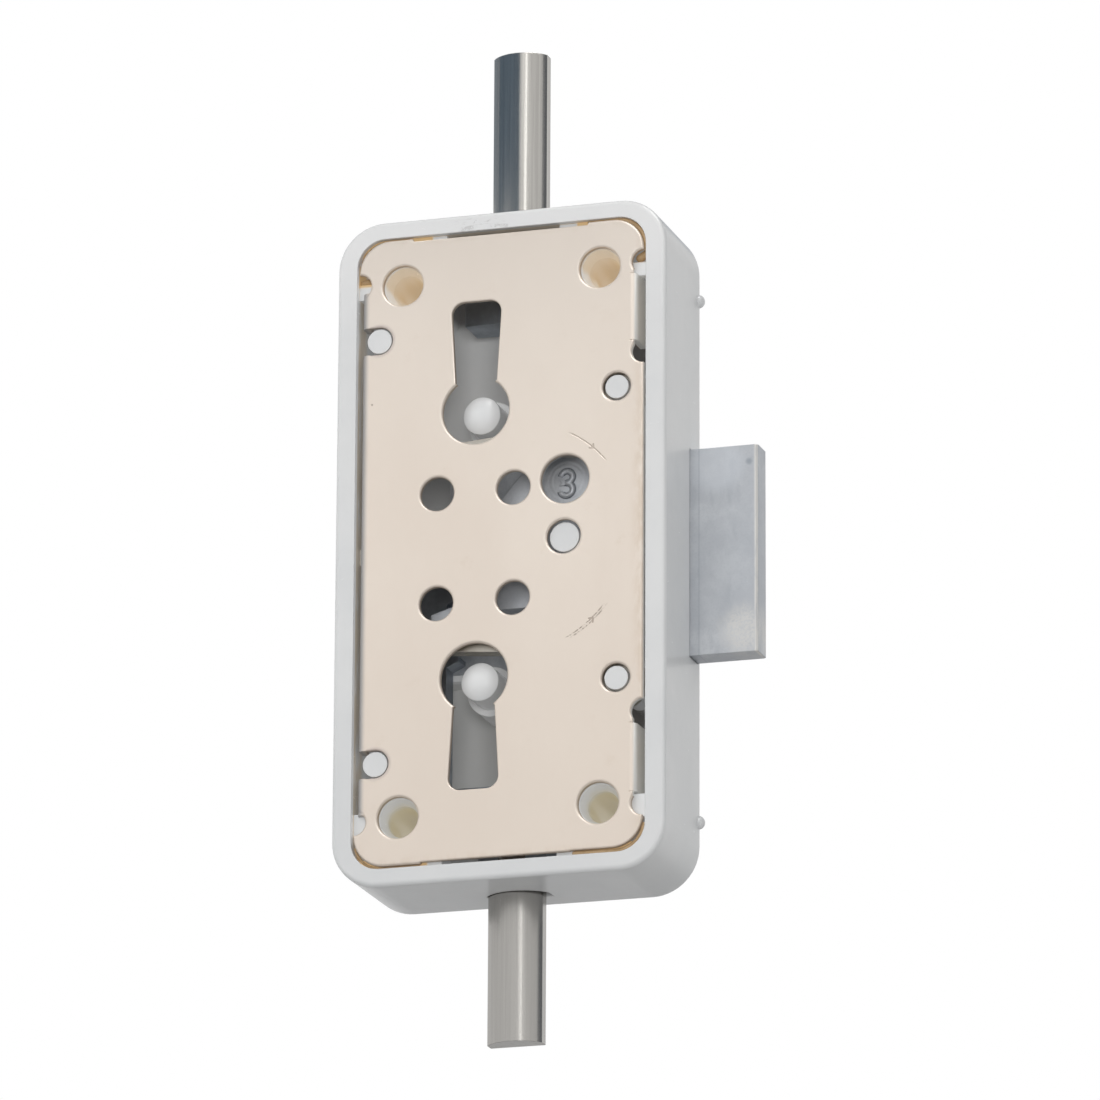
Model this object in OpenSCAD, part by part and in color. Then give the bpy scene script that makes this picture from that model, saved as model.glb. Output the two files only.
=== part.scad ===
// Espagnolette lock set: a surface lock in a moulded tray with a pressed cover plate.
// One turn of the key slides the dead bolt, and the bolt turns a pinion that drives two half-round rods.
// Millimetres. X points to the bolt side, Y from the door face into the room, Z up along the rods.
// The origin is on the outer face of the cover plate, in the middle of the case.

/* [Case] */
// Width of the case, across the bolt direction
case_w = 50; // [49.5:0.1:52]
// Height of the case, along the rods
case_h = 100; // [99:0.5:106]
// Depth of the case, door face to room face
case_d = 18; // [17.9:0.1:20]
// Outside corner radius of the case
corner_r = 7; // [6.5:0.1:8]
// Corner radius of the opening for the cover plate
mouth_r = 4.2; // [4.2:0.1:4.8]
// Thickness of the two long side walls
side_wall = 3; // [2.9:0.05:3.1]
// Thickness of the top and bottom walls
end_wall = 2.6; // [2.4:0.05:2.8]
// Thickness of the floor on the room side
floor_t = 1.2; // [1:0.05:1.3]
// Rounding of the rim's outer edge
rim_r = 0.7; // [0.4:0.1:1]
// Rounding of the room-side edge
back_r = 1; // [0.5:0.1:1.1]
// Width of the ledges that carry the cover plate at the corners
ledge_w = 1.6; // [1.4:0.1:1.8]
// Distance from the middle where the ledges at the top and bottom begin
ledge_from = 8.6; // [8.5:0.1:12]
// Height of the upper stop on the bolt side
upper_nub_z = 39.1; // [38:0.1:40]
// Depth below the middle of the lower stop on the bolt side
lower_nub_z = 39.5; // [38:0.1:40]

/* [Cover plate] */
// Sheet thickness of the cover plate
plate_t = 1; // [0.8:0.05:1.1]
// Play between the cover plate and the rim
plate_gap = 0.35; // [0.3:0.05:0.5]
// Corner radius of the cover plate
plate_r = 4.6; // [4.2:0.1:5]
// Depth of the long left flange, measured from the outer face
flange_d = 2.6; // [2.2:0.1:2.6]
// Depth of the two short right flanges, measured from the outer face
short_flange_d = 5; // [3:0.1:5.5]
// Distance of the left flange from the rim
flange_gap = 0.8; // [0.6:0.05:1]
// Distance of the right flanges from the rim
short_flange_gap = 1.35; // [1:0.05:1.4]
// Outside radius of the flange bend
bend_r = 1; // [0.9:0.05:1.1]
// Height of the upper and lower ends of the left flange above and below the middle
flange_reach = 38.65; // [38.2:0.05:38.8]
// Height where the flat right edge ends and the two short right flanges begin
flange_from = 28.6; // [28.5:0.1:29.5]
// Radius of the half-round bend reliefs
relief_r = 1.8; // [1.7:0.05:1.85]
// Height of the reliefs near the corners
relief_z = 40.4; // [40.2:0.1:40.8]
// Height of the reliefs beside the flat right edge
relief_mid_z = 26.9; // [26.7:0.1:27]
// Depth of the step in the middle of the top and bottom edges
edge_step = 0.4; // [0.2:0.05:0.6]
// Width of the step in the top edge
top_step_w = 26.7; // [20:0.1:27.5]
// Width of the step in the bottom edge
low_step_w = 22.3; // [20:0.1:27.5]

/* [Fixing holes] */
// Spacing of the fixing holes across the case
fix_x = 30; // [29:0.1:30.6]
// Spacing of the fixing holes along the case
fix_z = 80; // [79.5:0.1:80.5]
// Radius of the fixing holes in the cover plate
fix_plate_r = 3.05; // [2.9:0.05:3.1]
// Radius of the screw bores in the case
fix_r = 2.35; // [2:0.05:2.45]
// Outside radius of the screw bosses
boss_r = 3.4; // [3.2:0.05:3.4]
// Radius of the lead-in of the screw bores on the door side
lead_r = 2.95; // [2.6:0.05:3]
// Depth of the lead-in of the screw bores
lead_deep = 2; // [1:0.1:2.5]
// Radius of the screw countersinks on the room face
sink_r = 4.2; // [3.6:0.1:4.4]

/* [Key pins and keyholes] */
// Distance from the hinge side of the case to the key axis
key_in = 21.3; // [21.2:0.05:21.4]
// Distance of each key pin from the middle
key_z = 20; // [19.9:0.05:20.2]
// Radius of the key pins
key_pin_r = 2.8; // [2.4:0.05:2.85]
// Depth of the key pin tips below the outer face of the plate
key_tip_y = 1.9; // [1.5:0.1:2.5]
// Height of the domed tip of the key pins
key_dome = 1.1; // [0.6:0.1:1.3]
// Radius of the collar at the foot of the key pins
collar_r = 3.7; // [3.3:0.05:3.75]
// Radius of the round part of the keyholes
keyhole_r = 5.07; // [4.6:0.05:5.2]
// Reach of the keyhole slots from the key axis
keyhole_reach = 16.6; // [15:0.1:17]
// Width of the keyhole slots at the neck
keyhole_neck = 5.8; // [5.6:0.05:6.2]
// Width of the keyhole slots at the far end
keyhole_end = 7.5; // [7:0.1:7.8]
// Corner radius at the far end of the keyhole slots
keyhole_end_r = 1.8; // [1.4:0.1:2]

/* [Locating pins] */
// Distance of the lever pins from the bolt side of the case
lever_pin_in = 7.4; // [7.3:0.05:7.6]
// Height of the lever pins
lever_pin_z = 21.75; // [21.6:0.05:22]
// Radius of the lever pins
lever_pin_r = 1.75; // [1.6:0.05:1.8]
// Radius of the plate holes over the lever pins
lever_hole_r = 2.12; // [2:0.02:2.3]
// Distance of the left locating pins from the left rim
side_pin_in = 3.45; // [3.3:0.05:3.6]
// Height of the left locating pins
side_pin_z = 31.85; // [31.7:0.05:32]
// Radius of the left locating pins
side_pin_r = 1.85; // [1.7:0.05:1.9]
// Radius of the slots in the plate round the left locating pins
side_slot_r = 2.06; // [2.02:0.02:2.3]
// Distance of the bolt guide pin from the key axis
guide_dx = 13.4; // [13.3:0.05:13.45]
// Radius of the bolt guide pin
guide_r = 2.2; // [2.1:0.02:2.24]
// Radius of the plate hole over the guide pin
guide_hole_r = 2.55; // [2.5:0.05:2.7]
// Depth of the locating pin tips below the outer face
pin_tip_y = 0.3; // [0.2:0.05:0.4]
// Depth of the guide pin tip below the outer face
guide_tip_y = 0.6; // [0.4:0.05:0.7]

/* [Dead bolt] */
// Height of the middle of the bolt and of the pinion axis
mech_z = -0.4; // [-0.45:0.05:-0.35]
// Height of the bolt head
bolt_h = 31; // [30:0.1:31.2]
// Thickness of the bolt head
bolt_t = 4.4; // [4.2:0.05:4.5]
// Projection of the thrown bolt from the case
bolt_out = 10.2; // [10.1:0.1:12]
// Throw of the bolt and stroke of both rods
throw = 10; // [9.8:0.05:10]
// Chamfer on the nose of the bolt
nose_chamfer = 0.35; // [0.1:0.05:0.6]
// Height of the drive block
block_h = 28; // [27.6:0.1:28.4]
// Radius of the recess that carries the setting number
number_r = 3.7; // [3.5:0.05:3.7]
// Depth of the number recess
number_deep = 0.5; // [0.3:0.05:0.6]
// Height of the raised number above its recess
number_up = 0.25; // [0.15:0.05:0.4]
// Width of the number's line
number_stroke = 0.5; // [0.4:0.05:0.6]
// Radius of the steel stumps that run in the levers
stump_r = 1.1; // [0.9:0.05:1.15]
// Distance of the stumps from the bolt side of the case
stump_in = 10; // [9.9:0.05:10.2]
// Height of the stumps above and below the middle
stump_z = 14.6; // [14.5:0.05:14.7]
// Depth of the stumps in the drive block
stump_deep = 2; // [1.6:0.1:2.4]
// Sliding clearance between the layers of the mechanism
slide_gap = 0.2; // [0.18:0.01:0.21]
// Play at the sides of the sliding parts
side_play = 0.3; // [0.25:0.01:0.32]
// Gap all round the pressed-in pins and the seated rods
seat_gap = 0.03; // [0.02:0.01:0.04]

/* [Pinion and racks] */
// Gear module
module_mm = 1; // [0.98:0.01:1]
// Number of pinion teeth
pinion_teeth = 12; // [12:1:12]
// Pressure angle of the teeth
pressure = 25; // [24:0.5:26]
// Height of the teeth above the pitch line, in modules
tooth_up = 0.8; // [0.7:0.05:0.8]
// Depth of the teeth below the pitch line, in modules
tooth_down = 1.05; // [1.0:0.01:1.1]
// Thinning of each tooth for backlash
tooth_thin = 0.15; // [0.1:0.01:0.2]
// Radius of the pinion axle
axle_r = 2; // [1.6:0.05:2.2]
// Running clearance of the pinion and the levers on their pins
run_gap = 0.05; // [0.03:0.01:0.08]
// Thickness of the rack bars
rack_t = 3.2; // [3:0.05:3.3]
// Height where the guide ribs of the rack bars begin
rib_from = 18; // [17.5:0.1:19]
// Depth below the middle where the lower guide rib ends
rib_low = 32; // [30:0.1:33]

/* [Rods] */
// Width of the half-round rods
rod_w = 8.2; // [7.8:0.1:8.4]
// Thickness of the half-round rods
rod_t = 3.9; // [3.7:0.05:4]
// Height of the curved crown of the rods
rod_crown = 2.2; // [1.8:0.1:2.4]
// Sideways place of the rods from the middle of the case
rod_x = -0.5; // [-0.6:0.05:-0.4]
// Length of the upper rod that stands out of the case
upper_rod_out = 27.3; // [20:0.1:60]
// Length of the lower rod that stands out of the case
lower_rod_out = 21.9; // [20:0.1:60]
// Width of the slots in the end walls
rod_slot_w = 9.4; // [9.2:0.1:9.8]
// Play in front of and behind the rods in the end walls
rod_slot_gap = 0.4; // [0.3:0.05:0.45]
// Radius of the rivets that hold the rods
rivet_r = 1.5; // [1.2:0.05:1.8]
// Radius of the rivet heads
rivet_head_r = 2.6; // [2.2:0.1:3]

/* [Levers and springs] */
// Thickness of each lever
lever_t = 1.1; // [0.9:0.05:1.1]
// Gap between the cover plate and the front levers
lever_front_gap = 0.4; // [0.35:0.01:0.45]
// Gap between the levers and behind them
lever_gap = 0.3; // [0.25:0.01:0.32]
// Angle that a full throw turns the levers
lever_lift = 5; // [4.8:0.1:5.1]
// Outside radius of the lever eyes
eye_r = 3.8; // [3.4:0.05:3.9]
// Play of the stumps in the lever gates
gate_gap = 0.3; // [0.28:0.01:0.34]
// Mean radius of the spring coils
coil_r = 0.9; // [0.8:0.02:0.92]
// Radius of the spring wire
wire_r = 0.18; // [0.15:0.01:0.2]
// Number of spring turns
coil_turns = 7; // [5:1:8]

/* [Hidden] */
$fn = 48;
over = 1;

// Case planes
right_x = case_w / 2;
top_z = case_h / 2;
wall_x = right_x - side_wall;
wall_z = top_z - end_wall;
floor_y = case_d - floor_t;
key_x = key_in - right_x;

// Depth of each layer: bolt, racks and rods from the floor, levers from the plate, the drive block between
bolt_y1 = floor_y - slide_gap / 2;
bolt_y0 = bolt_y1 - bolt_t;
rack_y1 = bolt_y0 - slide_gap;
rack_y0 = rack_y1 - rack_t;
block_y1 = rack_y0 - 2 * slide_gap;
rod_y1 = rack_y1;
rod_y0 = rod_y1 - rod_t;
front_lever_y = plate_t + lever_front_gap;
rear_lever_y = front_lever_y + lever_t + lever_gap;
block_y0 = rear_lever_y + lever_t + lever_gap;

// Bolt and its parts
bolt_top = mech_z + bolt_h / 2;
bolt_low = mech_z - bolt_h / 2;
nose_x = right_x + bolt_out;
arm_x = key_x - 7.8;
inner_x = wall_x - side_play;
column_x = inner_x - 3.5;
block_top = block_h / 2;
block_low = -block_h / 2;
guide_x = key_x + guide_dx;
guide_z = -0.1;
guide_slot = guide_r + slide_gap;
stump_x = right_x - stump_in;
number_x = key_x + 12.4;
number_z = 9.6;

// Gear values
pitch_r = module_mm * pinion_teeth / 2;
tooth_pitch = PI * module_mm;
add_h = tooth_up * module_mm;
ded_h = tooth_down * module_mm;
tooth_half = (tooth_pitch / 2 - tooth_thin) / 2;
base_r = pitch_r * cos(pressure);
root_r = pitch_r - ded_h;
tip_r = pitch_r + add_h;
window_top = mech_z + tip_r + 0.5;
window_x = key_x + throw + tip_r + 0.4;

// Racks and carriers
rack_back = guide_x - guide_r - slide_gap;
bar_w = rack_back - (key_x + pitch_r + ded_h);
left_back = key_x - pitch_r - ded_h - bar_w;
carrier_low = 35.7;
carrier_top = wall_z - 1;
carrier_y0 = rack_y0 - side_play;
carrier_y1 = rack_y1 + 2.3;
carrier_left = key_x - 4.5;
tray_side = 1;
shoulder_top = 34.1;
shoulder_low = fix_z / 2 - boss_r - slide_gap;
rod_in = carrier_low + 2;
rivet_z = (rod_in + carrier_top) / 2;
rivet_head_t = 0.8;

// Levers
lever_x = right_x - lever_pin_in;
eye_hole_r = lever_pin_r + run_gap;
gate_r = stump_r + gate_gap;
front_toe = key_x - 14.8;
rear_toe = key_x - 11.7;
toe_half = 1.2;
toe_z = 11.4;
arm_low = 12.7;
arm_top = 14.5;
shelf_half = 1.2;
shelf_y0 = front_lever_y + lever_t + 0.2;

// Points on an arc
function arc_points(c, r, a0, a1, n = 6) =
    [for (i = [0:n]) c + r * [cos(a0 + (a1 - a0) * i / n), sin(a0 + (a1 - a0) * i / n)]];

// Involute function and half the tooth angle at a radius
function inv(a) = tan(a) - a * PI / 180;
function tooth_angle(r) = (tooth_half / pitch_r + inv(pressure) - inv(acos(base_r / r))) * 180 / PI;
function polar(r, a) = [r * cos(a), r * sin(a)];

// Outline of one pinion tooth round the angle a
flank_steps = 5;
function flank_r(i) = base_r + (tip_r - base_r) * i / flank_steps;
function tooth_points(a) = concat(
    [polar(root_r, a - tooth_angle(base_r))],
    [for (i = [0:flank_steps]) polar(flank_r(i), a - tooth_angle(flank_r(i)))],
    [for (i = [flank_steps:-1:0]) polar(flank_r(i), a + tooth_angle(flank_r(i)))],
    [polar(root_r, a + tooth_angle(base_r))]);

// Outline of rack teeth k0 to k1, teeth towards +Y, pitch line on the X axis, a gap at X = 0
function rack_tooth(k) = let (c = (k + 0.5) * tooth_pitch, t = tan(pressure))
    [[c - tooth_half - ded_h * t, -ded_h], [c - tooth_half + add_h * t, add_h],
        [c + tooth_half - add_h * t, add_h], [c + tooth_half + ded_h * t, -ded_h]];
function rack_points(k0, k1, from, to, body) = concat(
    [[from, -ded_h - body], [from, -ded_h]],
    [for (k = [k0:k1]) each rack_tooth(k)],
    [[to, -ded_h], [to, -ded_h - body]]);

// Extrudes an X-Z outline in depth from y0 to y1
module slab(y0, y1) {
    translate([0, y1, 0]) rotate([90, 0, 0]) linear_extrude(y1 - y0) children();
}

// Round pin or hole along the depth
module pin(x, z, r, y0, y1) {
    slab(y0, y1) translate([x, z]) circle(r);
}

module block(x0, x1, y0, y1, z0, z1) {
    translate([x0, y0, z0]) cube([x1 - x0, y1 - y0, z1 - z0]);
}

module round_rect(w, h, r) {
    square([w - 2 * r, h], center = true);
    square([w, h - 2 * r], center = true);
    for (x = [-1, 1], y = [-1, 1])
        translate([x * (w / 2 - r), y * (h / 2 - r)]) circle(r);
}

// Straight slot between two points
module slot_2d(a, b, r) {
    d = b - a;
    translate(a) circle(r);
    translate(b) circle(r);
    translate(a) rotate(atan2(d[1], d[0])) translate([0, -r]) square([norm(d), 2 * r]);
}

// Half-round section: flat at y1, crown towards the door
module half_round(w, y0, y1, crown) {
    r = (pow(w / 2, 2) + pow(crown, 2)) / (2 * crown);
    intersection() {
        translate([0, y0 + r]) circle(r, $fn = 96);
        translate([-w / 2, y0 - over]) square([w, y1 - y0 + over]);
    }
}

// Section of the case across a straight side, with both edges rounded
function case_section(half) = concat(
    arc_points([half - rim_r, rim_r], rim_r, -90, 0),
    arc_points([half - back_r, case_d - back_r], back_r, 0, 90),
    arc_points([back_r - half, case_d - back_r], back_r, 90, 180),
    arc_points([rim_r - half, rim_r], rim_r, 180, 270));

module case_body() {
    flat_x = case_w - 2 * corner_r;
    flat_z = case_h - 2 * corner_r;
    translate([0, 0, -flat_z / 2]) linear_extrude(flat_z) polygon(case_section(right_x));
    translate([-flat_x / 2, 0, 0]) rotate([90, 0, 90]) linear_extrude(flat_x)
        polygon([for (p = case_section(top_z)) [p[1], p[0]]]);
    for (x = [-1, 1], z = [-1, 1])
        translate([x * flat_x / 2, 0, z * flat_z / 2]) rotate([-90, 0, 0])
            rotate_extrude($fn = 64) polygon(concat([[0, 0]],
                arc_points([corner_r - rim_r, rim_r], rim_r, -90, 0),
                arc_points([corner_r - back_r, case_d - back_r], back_r, 0, 90),
                [[0, case_d]]));
}

// Key pin with its collar and domed tip
module key_pin(z) {
    dome_r = (pow(key_pin_r, 2) + pow(key_dome, 2)) / (2 * key_dome);
    pin(key_x, z, collar_r, block_y1, floor_y);
    pin(key_x, z, key_pin_r, key_tip_y + key_dome, floor_y);
    intersection() {
        pin(key_x, z, key_pin_r, key_tip_y - over, key_tip_y + key_dome);
        translate([key_x, key_tip_y + dome_r, z]) sphere(dome_r, $fn = 64);
    }
}

// Small moulded stop on the bolt side, at the room-side edge
module side_nub(z) {
    nub_r = 1;
    translate([right_x - 0.15, case_d - back_r, z]) sphere(nub_r, $fn = 24);
}

module plate_ledges() {
    for (z = [-1, 1], x = [-1, 1])
        intersection() {
            block(min(x * ledge_from, x * wall_x), max(x * ledge_from, x * wall_x), plate_t, floor_y,
                min(z * (wall_z - ledge_w), z * wall_z), max(z * (wall_z - ledge_w), z * wall_z));
            slab(plate_t, floor_y) round_rect(case_w - side_wall, case_h - end_wall, corner_r - 1);
        }
}

// Small pegs on the side walls that show in the corner reliefs
module relief_pegs() {
    peg_in = 2;
    for (x = [-1, 1]) {
        x0 = min(x * wall_x, x * (wall_x - peg_in));
        block(x0, x0 + peg_in, plate_t + 0.2, floor_y, relief_z - 1.4, relief_z + 0.2);
        block(x0, x0 + peg_in, plate_t + 0.2, floor_y, -relief_z - 0.2, -relief_z + 1.4);
    }
}

// Ribs on the floor that guide the bolt and the rack bars
module guide_ribs() {
    rib = 1.4;
    block(arm_x - throw, wall_x, rack_y1 + slide_gap, floor_y, bolt_top + slide_gap,
        bolt_top + slide_gap + 0.9);
    block(arm_x - throw, wall_x, rack_y1 + slide_gap, floor_y, bolt_low - slide_gap - 0.9,
        bolt_low - slide_gap);
    block(rack_back + slide_gap, rack_back + slide_gap + rib, rack_y0, floor_y, rib_from, wall_z);
    block(left_back - slide_gap - rib, left_back - slide_gap, rack_y0, floor_y, -rib_low,
        -rib_from);
}

// Shelf from the left wall that the lever springs stand on
module spring_shelf() {
    block(-wall_x, rear_toe + toe_half, shelf_y0, rear_lever_y + lever_t, -shelf_half, shelf_half);
    block(front_toe - toe_half, rear_toe + toe_half, front_lever_y, rear_lever_y + lever_t,
        -shelf_half, shelf_half);
}

module rod_slots() {
    for (z = [-1, 1])
        translate([rod_x + 0.4, 0, z * (wall_z - over)]) mirror([0, 0, z < 0 ? 1 : 0])
            linear_extrude(end_wall + 2 * over)
                half_round(rod_slot_w, rod_y0 - rod_slot_gap, rod_y1 + rod_slot_gap, rod_crown + 0.3);
}

module housing() {
    color([0.86, 0.87, 0.86]) difference() {
        union() {
            difference() {
                case_body();
                slab(-over, floor_y) round_rect(2 * wall_x, 2 * wall_z, mouth_r);
            }
            plate_ledges();
            relief_pegs();
            guide_ribs();
            spring_shelf();
            for (z = [-1, 1]) {
                key_pin(z * key_z);
                pin(lever_x, z * lever_pin_z, lever_pin_r, pin_tip_y, floor_y);
                pin(side_pin_in - right_x + side_wall, z * side_pin_z, side_pin_r, pin_tip_y, floor_y);
            }
            pin(guide_x, guide_z, guide_r, guide_tip_y, floor_y);
            for (x = [-1, 1], z = [-1, 1])
                pin(x * fix_x / 2, z * fix_z / 2, boss_r, plate_t, floor_y);
            side_nub(upper_nub_z);
            side_nub(-lower_nub_z);
        }
        for (x = [-1, 1], z = [-1, 1]) {
            pin(x * fix_x / 2, z * fix_z / 2, fix_r, -over, case_d + over);
            translate([x * fix_x / 2, case_d, z * fix_z / 2]) rotate([90, 0, 0])
                cylinder(h = sink_r - fix_r, r1 = sink_r, r2 = fix_r);
            translate([x * fix_x / 2, plate_t, z * fix_z / 2]) rotate([-90, 0, 0])
                cylinder(h = lead_deep, r1 = lead_r, r2 = fix_r);
        }
        rod_slots();
        block(wall_x - over, right_x + over, bolt_y0 - slide_gap, floor_y, bolt_low - slide_gap,
            bolt_top + slide_gap);
        pin(key_x, mech_z, axle_r + seat_gap, floor_y - over, case_d - 0.3);
    }
}

// Keyhole outline with the slot pointing away from the middle; z is +1 or -1
module keyhole_2d(z) {
    end_z = keyhole_reach - keyhole_end_r;
    half_end = keyhole_end / 2 - keyhole_end_r;
    translate([key_x, z * key_z]) scale([1, z]) {
        circle(keyhole_r);
        polygon([[-keyhole_neck / 2, 0], [keyhole_neck / 2, 0],
            [keyhole_end / 2, end_z], [-keyhole_end / 2, end_z]]);
        translate([-half_end, end_z - over]) square([2 * half_end, keyhole_end_r + over]);
        for (x = [-1, 1]) translate([x * half_end, end_z]) circle(keyhole_end_r);
    }
}

// Flat part of the cover plate
module plate_outline() {
    edge_x = wall_x - plate_gap;
    edge_z = wall_z - plate_gap;
    left_flat = wall_x - flange_gap - bend_r;
    right_flat = wall_x - short_flange_gap - bend_r;
    difference() {
        round_rect(2 * edge_x, 2 * edge_z, plate_r);
        translate([-0.15, edge_z + over - edge_step]) square([top_step_w, 2 * over], center = true);
        translate([-0.35, edge_step / 2 - edge_z - over]) square([low_step_w, 2 * over], center = true);
        translate([-edge_x - over, -flange_reach]) square([edge_x + over - left_flat, 2 * flange_reach]);
        for (z = [-1, 1]) {
            translate([right_flat, z > 0 ? flange_from : -flange_reach])
                square([edge_x + over - right_flat, flange_reach - flange_from]);
            for (x = [-1, 1]) translate([x * edge_x, z * relief_z]) circle(relief_r);
            translate([edge_x, z * relief_mid_z]) circle(relief_r);
        }
    }
}

// Bent flange on one long edge, between two heights
module flange(side, out_x, deep, z0, z1) {
    translate([0, 0, z0]) mirror([side < 0 ? 1 : 0, 0, 0]) linear_extrude(z1 - z0) {
        translate([out_x - plate_t, bend_r]) square([plate_t, deep - bend_r]);
        difference() {
            translate([out_x - bend_r, bend_r]) circle(bend_r);
            translate([out_x - 3 * bend_r, bend_r]) square(4 * bend_r);
            translate([out_x - 3 * bend_r, -over]) square([2 * bend_r, 3 * bend_r]);
        }
    }
}

module cover_plate() {
    wheel_dx = 5.77;
    wheel_dz = 8.25;
    left_out = wall_x - flange_gap;
    right_out = wall_x - short_flange_gap;
    color([0.88, 0.84, 0.78]) difference() {
        union() {
            slab(0, plate_t) plate_outline();
            flange(-1, left_out, flange_d, -flange_reach, flange_reach);
            flange(1, right_out, short_flange_d, flange_from, flange_reach);
            flange(1, right_out, short_flange_d, -flange_reach, -flange_from);
        }
        slab(-over, plate_t + over) {
            keyhole_2d(1);
            keyhole_2d(-1);
        }
        for (x = [-1, 1], z = [-1, 1]) {
            pin(x * fix_x / 2, z * fix_z / 2, fix_plate_r, -over, plate_t + over);
            pin(key_x + x * wheel_dx, mech_z + z * wheel_dz, 2.52, -over, plate_t + over);
        }
        pin(key_x + 13.56, 8.5, 3.62, -over, plate_t + over);
        pin(guide_x, guide_z, guide_hole_r, -over, plate_t + over);
        for (z = [-1, 1]) {
            pin(lever_x, z * lever_pin_z, lever_hole_r, -over, plate_t + over);
            slab(-over, flange_d + over)
                slot_2d([side_pin_in - wall_x, z * side_pin_z], [-right_x, z * side_pin_z], side_slot_r);
        }
    }
}

// Number 3 as two open rings; the origin is where the rings meet
module number_2d() {
    for (bowl = [[0.9, 1.12], [-0.97, 1.2]])
        difference() {
            translate([0, bowl[0]]) circle(bowl[1]);
            translate([0, bowl[0]]) circle(bowl[1] - number_stroke);
            translate([-3.1, bowl[0] > 0 ? 0.4 : -1.3]) square([3, 0.9]);
        }
}

// Outline of the drive block: notches for the key bit, ears for the stumps, fork round the guide pin
module block_outline() {
    ear_x0 = stump_x - 2.6;
    ear_x1 = stump_x + 2.6;
    ear_z = stump_z + 1.6;
    difference() {
        translate([key_x, 0]) polygon([
            [inner_x - key_x, block_top], [inner_x - key_x, block_low], [8.1, block_low], [7.1, -9.1],
            [-4.5, -9.1], [-5.2, -12.6], [-7.9, -12.6], [-7.9, -9.1], [-4.3, -8],
            [-4.3, 12.4], [-1.9, 12.4], [-1.7, 6.8], [2.1, 6.8], [8.2, block_top]]);
        translate([rack_back, guide_z - guide_slot]) square([inner_x, 2 * guide_slot]);
    }
    for (z = [-1, 1])
        translate([ear_x0, z > 0 ? 8 : -ear_z]) square([ear_x1 - ear_x0, ear_z - 8]);
}

module dead_bolt() {
    window_low = mech_z - pitch_r - ded_h;
    slot_end = guide_x + guide_r + slide_gap / 2 + throw;
    color([0.72, 0.74, 0.75]) difference() {
        union() {
            slab(bolt_y0, bolt_y1) {
                difference() {
                    translate([arm_x, bolt_low]) square([right_x - over - arm_x, bolt_h]);
                    translate([arm_x - over, window_low])
                        square([window_x - arm_x + over, window_top - window_low]);
                    translate([rack_back, guide_z - guide_slot])
                        square([slot_end - rack_back, 2 * guide_slot]);
                }
                translate([key_x, mech_z - pitch_r])
                    polygon(rack_points(-2, 4, arm_x - key_x, window_x - key_x, over));
            }
            translate([0, 0, bolt_low]) linear_extrude(bolt_h) polygon([
                [right_x - over, bolt_y0], [nose_x - nose_chamfer, bolt_y0],
                [nose_x, bolt_y0 + nose_chamfer], [nose_x, bolt_y1 - nose_chamfer],
                [nose_x - nose_chamfer, bolt_y1], [right_x - over, bolt_y1]]);
            slab(block_y0, block_y1) block_outline();
            block(column_x, inner_x, block_y1, bolt_y0, guide_z + guide_slot, block_top);
            block(column_x, inner_x, block_y1, bolt_y0, block_low, guide_z - guide_slot);
        }
        pin(number_x, number_z, number_r, block_y0 - over, block_y0 + number_deep);
        for (z = [-1, 1]) pin(stump_x, z * stump_z, stump_r + seat_gap, block_y0 - over,
            block_y0 + stump_deep);
    }
    color([0.72, 0.74, 0.75]) slab(block_y0 + number_deep - number_up, block_y0 + number_deep)
        translate([number_x, number_z - 0.34]) number_2d();
}

module bolt_stumps() {
    color([0.6, 0.61, 0.63])
        for (z = [-1, 1]) pin(stump_x, z * stump_z, stump_r, front_lever_y + 0.1,
            block_y0 + stump_deep);
}

module drive_pinion() {
    color([0.66, 0.62, 0.5]) difference() {
        slab(rack_y0 - slide_gap / 2, floor_y - slide_gap / 2) translate([key_x, mech_z]) {
            polygon([for (i = [0:pinion_teeth - 1]) each tooth_points(i * 360 / pinion_teeth)]);
            circle(root_r);
        }
        pin(key_x, mech_z, axle_r + run_gap, 0, case_d);
    }
}

module pinion_axle() {
    color([0.6, 0.61, 0.63]) pin(key_x, mech_z, axle_r, rack_y0 - slide_gap, case_d - 0.3 - seat_gap);
}

// Rack bar of one rod: teeth towards the pinion, bar up to the given reach
module rack_bar(side, reach) {
    slab(rack_y0, rack_y1) translate([key_x + side * pitch_r, mech_z]) rotate(side * 90)
        polygon(rack_points(-2, 4, -2.1 * tooth_pitch, reach - side * mech_z, bar_w));
}

// Room for the rod and its rivet in a carrier
module rod_seat(z0, z1) {
    translate([rod_x, 0, z0]) linear_extrude(z1 - z0)
        half_round(rod_w + 2 * seat_gap, rod_y0 - seat_gap, rod_y1, rod_crown);
}

module upper_rack() {
    color([0.36, 0.38, 0.4]) difference() {
        union() {
            rack_bar(1, carrier_low + over);
            block(carrier_left, rack_back, carrier_y0, carrier_y1, carrier_low, carrier_top);
        }
        rod_seat(rod_in, carrier_top + over);
        pin(rod_x, rivet_z, rivet_r + seat_gap, rod_y0 - over, carrier_y1 + over);
    }
}

module lower_rack() {
    tray_half = rod_w / 2 + tray_side;
    color([0.36, 0.38, 0.4]) difference() {
        union() {
            rack_bar(-1, shoulder_top + over);
            block(left_back, rod_x + tray_half, carrier_y0, carrier_y1, -shoulder_low, -shoulder_top);
            block(rod_x - tray_half, rod_x + tray_half, carrier_y0, carrier_y1, -carrier_top,
                -shoulder_top);
        }
        rod_seat(-carrier_top - over, -rod_in);
        pin(rod_x, -rivet_z, rivet_r + seat_gap, rod_y0 - over, carrier_y1 + over);
    }
}

module rod(z0, z1, hole_z) {
    difference() {
        translate([rod_x, 0, z0]) linear_extrude(z1 - z0) half_round(rod_w, rod_y0, rod_y1, rod_crown);
        pin(rod_x, hole_z, rivet_r + seat_gap, rod_y0 - over, rod_y1 + over);
    }
}

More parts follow.
